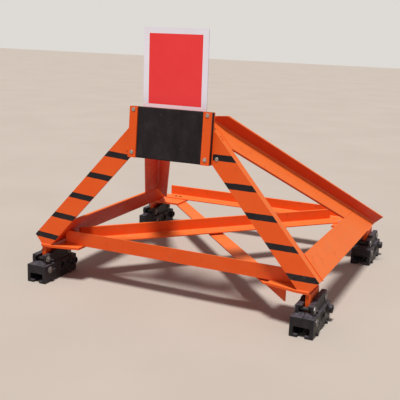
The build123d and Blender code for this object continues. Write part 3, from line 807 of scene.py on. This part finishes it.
def loose_bolts(node):
    """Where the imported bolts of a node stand: seat, outward axis, thread size, whether a nut; and what is no
    head."""
    edited(merged_copy(node), bpy.ops.mesh.separate, type="LOOSE")
    found, rest = [], []
    for solid in list(bpy.context.selected_objects):
        middle, best = hexagon(solid)
        if best is None:
            rest.append(solid)
            continue
        axis, rim = best[1:]
        centre = sum(rim, Vector()) / len(rim)
        along = [(corner - centre).dot(axis) for corner in rim]
        flats = 2 * square_to(axis, rim[0] - centre).length * HEX
        found.append((centre, axis, flats / FLATS, max(along) - min(along), (centre - middle).dot(axis)))
        bpy.data.objects.remove(solid)
    seats = []
    for centre, axis, size, height, lean in found:
        # The other end of the same bolt stands on the same line
        partner = [other[0] for other in found if (other[0] - centre).length > APART
                   and square_to(axis, other[0] - centre).length < OFF_LINE]
        if partner:
            outward = (centre - partner[0]).dot(axis)
        elif abs(lean) > LEAN:
            # A shank on one side draws the solid's middle there
            outward = lean
        else:
            # A lone head shows at the rear
            outward = axis.y
        if outward < 0:
            axis = -axis
        seats.append((centre - axis * height / 2, axis, size, height > NUT_HEIGHT * size))
    return seats, rest


class BUFFER_OT_bolts(bpy.types.Operator):
    """Model the hexagon bolts, nuts and washers"""
    bl_idname = "buffer.bolts"
    bl_label = "Bolts"

    def execute(self, context):
        look = context.scene.buffer_look
        shape = context.scene.buffer_shape
        zinc = bolt_steel("zinc-plated steel", look.zinc, "#8C8175", share=0.55)
        worn = bolt_steel("oiled steel with worn corners", look.oiled, "#3C3634", share=0.30)
        black = bolt_steel("black oxide steel", look.oxide, "#1F1B1B", share=0.25)
        patterns = {nut: bolt_pattern(nut) for nut in (False, True)}
        for node in [name for name in NODES if name.endswith("_bolts")]:
            seats, rest = loose_bolts(node)
            for count, (seat, axis, size, nut) in enumerate(seats):
                # Each hexagon stands at an angle of its own, as tightening leaves it
                turn = axis.to_track_quat("Z", "Y").to_matrix().to_4x4()
                spin = Matrix.Rotation(math.radians(37 * count % 60), 4, "Z")
                wide = size * (shape.clamp_bolt if "clamp" in node else 1.0)
                scale = Matrix.Diagonal((wide, wide, size, 1.0))
                rest.append(own_copy(patterns[nut], Matrix.Translation(seat) @ turn @ spin @ scale))
            piece = joined(rest)
            metal = worn if "clamp" in node else black if node == "rear_beam_bolts" else zinc
            hand_over(piece, node + "_detailed", metal, "bolt_steel", node)
            if node == "pad_bolts":
                # The bolt in the left strut is painted with it
                piece.data.materials.append(bpy.data.materials[PAINTS[0]])
                for face in piece.data.polygons:
                    if face.center.x < shape.painted_side:
                        face.material_index = 1
            elif "clamp" in node:
                # The shank in the clamp's slot gets the black steel as painted shade, dark as the slot's shade
                low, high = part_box(node)
                piece.data.materials.append(black)
                for face in piece.data.polygons:
                    if abs(face.center.x - (low[0] + high[0]) / 2) < shape.slot_half:
                        face.material_index = 1
        for pattern in patterns.values():
            bpy.data.objects.remove(pattern)
        return {"FINISHED"}


class BUFFER_OT_welds(bpy.types.Operator):
    """Lay the weld beads of the frame"""
    bl_idname = "buffer.welds"
    bl_label = "Weld beads"

    def execute(self, context):
        pitch = context.scene.buffer_shape.ripple
        beads = []
        for start, end, width in WELDS:
            start, end = drawn(start), drawn(end)
            run = end - start
            only()
            bpy.ops.mesh.primitive_uv_sphere_add(segments=10, ring_count=6, radius=0.5)
            bead = bpy.context.active_object
            # Ripples lie over each other by half, a little flatter than they are wide
            bead.scale = (2.2 * pitch, width / 1000, width / 1000 * 0.9)
            bpy.ops.object.transform_apply(location=False, rotation=False, scale=True)
            treat(bead, "ARRAY", count=int(run.length / pitch), use_relative_offset=False,
                  use_constant_offset=True, constant_offset_displace=(pitch, 0.0, 0.0))
            bead.matrix_world = Matrix.Translation(start) @ run.to_track_quat("X", "Z").to_matrix().to_4x4()
            settle(bead)
            beads.append(bead)
        piece = joined(beads)
        bpy.ops.object.shade_smooth()
        hand_over(piece, "frame_welds", bpy.data.materials[PAINTS[0]], "orange_steel")
        return {"FINISHED"}


def pale_floor(setting):
    """Pale matt floor. To the eye: plain, its tone drifting a little in clouds about 0.8 m wide."""
    material, tree, place = new_material("pale studio floor")
    tone = add(tree, "TexNoise", Vector=place.outputs["Object"], Scale=1.2, Detail=2.0)
    stops = ((0.30, setting.floor), (0.70, setting.floor_pale))
    tone = add(tree, "ValToRGB", {"stops": stops}, Fac=tone)
    surface = add(tree, "BsdfPrincipled", Base_Color=tone, Roughness=0.9)
    add(tree, "OutputMaterial", Surface=surface)
    return material


def studio_world(setting):
    """Surroundings: a full backdrop to the camera, a dimmer one in glossy faces, weak light on the rest."""
    world = bpy.data.worlds.new("studio")
    world.use_nodes = True
    tree = world.node_tree
    tree.nodes.clear()
    path = add(tree, "LightPath").outputs
    seen = add(tree, "Math", {"operation": "MAXIMUM"}, s0=path["Is Camera Ray"], s1=path["Is Glossy Ray"])
    shade = add(tree, "Mix", MIX, s0=seen, s6=linear(setting.sky_colour), s7=linear(setting.backdrop))
    number = {"data_type": "FLOAT"}
    glow = add(tree, "Mix", number, s0=path["Is Glossy Ray"], s2=setting.sky, s3=setting.shine)
    glow = add(tree, "Mix", number, s0=path["Is Camera Ray"], s2=glow, s3=1.0)
    light = add(tree, "Background", Color=shade.outputs[2], Strength=glow)
    add(tree, "OutputWorld", Surface=light)
    return world


def key_lamp(setting):
    """Main lamp, a wide sun aimed at the origin."""
    lamp = bpy.data.lights.new("key", "SUN")
    lamp.energy = setting.key
    lamp.angle = setting.key_size
    item = bpy.data.objects.new("key", lamp)
    item.location = setting.key_from
    item.rotation_euler = (-Vector(item.location)).to_track_quat("-Z", "Y").to_euler()
    return item


def photo_camera(setting):
    """Camera at the photograph's place and angle."""
    camera = bpy.data.cameras.new("photo view")
    camera.sensor_width = 36.0
    camera.lens = setting.lens
    camera.clip_end = 100.0
    eye = bpy.data.objects.new("photo view", camera)
    yaw, pitch, roll = setting.yaw, setting.pitch, setting.roll
    ahead = Vector((-math.sin(yaw) * math.cos(pitch), math.cos(yaw) * math.cos(pitch), math.sin(pitch)))
    right = Vector((math.cos(yaw), math.sin(yaw), 0.0))
    up = right.cross(ahead)
    right, up = right * math.cos(roll) + up * math.sin(roll), up * math.cos(roll) - right * math.sin(roll)
    turn = Matrix((right, up, -ahead)).transposed().to_4x4()
    eye.matrix_world = Matrix.Translation(Vector(setting.eye)) @ turn
    return eye


class BUFFER_OT_stage(bpy.types.Operator):
    """Set the floor, the light and the camera"""
    bl_idname = "buffer.stage"
    bl_label = "Stage"

    def execute(self, context):
        setting = context.scene.buffer_stage
        only()
        # The floor lies half a millimetre under the clamps' soles, so that the two don't flicker
        bpy.ops.mesh.primitive_plane_add(size=60.0, location=(0.0, 0.0, -0.0005))
        floor = context.active_object
        floor.name = "studio_floor"
        floor.data.materials.append(pale_floor(setting))
        context.scene.world = studio_world(setting)
        context.collection.objects.link(key_lamp(setting))
        eye = photo_camera(setting)
        context.collection.objects.link(eye)
        context.scene.camera = eye
        context.scene.view_settings.view_transform = "Standard"
        return {"FINISHED"}


OPERATORS = (BUFFER_OT_frame, BUFFER_OT_struts, BUFFER_OT_clamps, BUFFER_OT_head, BUFFER_OT_bolts,
             BUFFER_OT_welds, BUFFER_OT_stage)


class BUFFER_PT_panel(bpy.types.Panel):
    """Steps of the buffer stop"""
    bl_idname = "BUFFER_PT_panel"
    bl_label = "Buffer Stop"
    bl_space_type = "VIEW_3D"
    bl_region_type = "UI"
    bl_category = "Buffer Stop"

    def draw(self, context):
        for step in OPERATORS:
            self.layout.operator(step.bl_idname)


CLASSES = (BufferStopLook, BufferStopShape, BufferStopStage, *OPERATORS, BUFFER_PT_panel)


def register():
    """Make the classes known."""
    for kind in CLASSES:
        bpy.utils.register_class(kind)
    bpy.types.Scene.buffer_look = bpy.props.PointerProperty(type=BufferStopLook)
    bpy.types.Scene.buffer_shape = bpy.props.PointerProperty(type=BufferStopShape)
    bpy.types.Scene.buffer_stage = bpy.props.PointerProperty(type=BufferStopStage)


def unregister():
    """Forget the classes."""
    del bpy.types.Scene.buffer_stage
    del bpy.types.Scene.buffer_shape
    del bpy.types.Scene.buffer_look
    for kind in reversed(CLASSES):
        bpy.utils.unregister_class(kind)


def main():
    """Run every step in order."""
    register()
    bpy.ops.buffer.frame()
    bpy.ops.buffer.struts()
    bpy.ops.buffer.clamps()
    bpy.ops.buffer.head()
    bpy.ops.buffer.bolts()
    bpy.ops.buffer.welds()
    bpy.ops.buffer.stage()


if __name__ == "__main__":
    main()
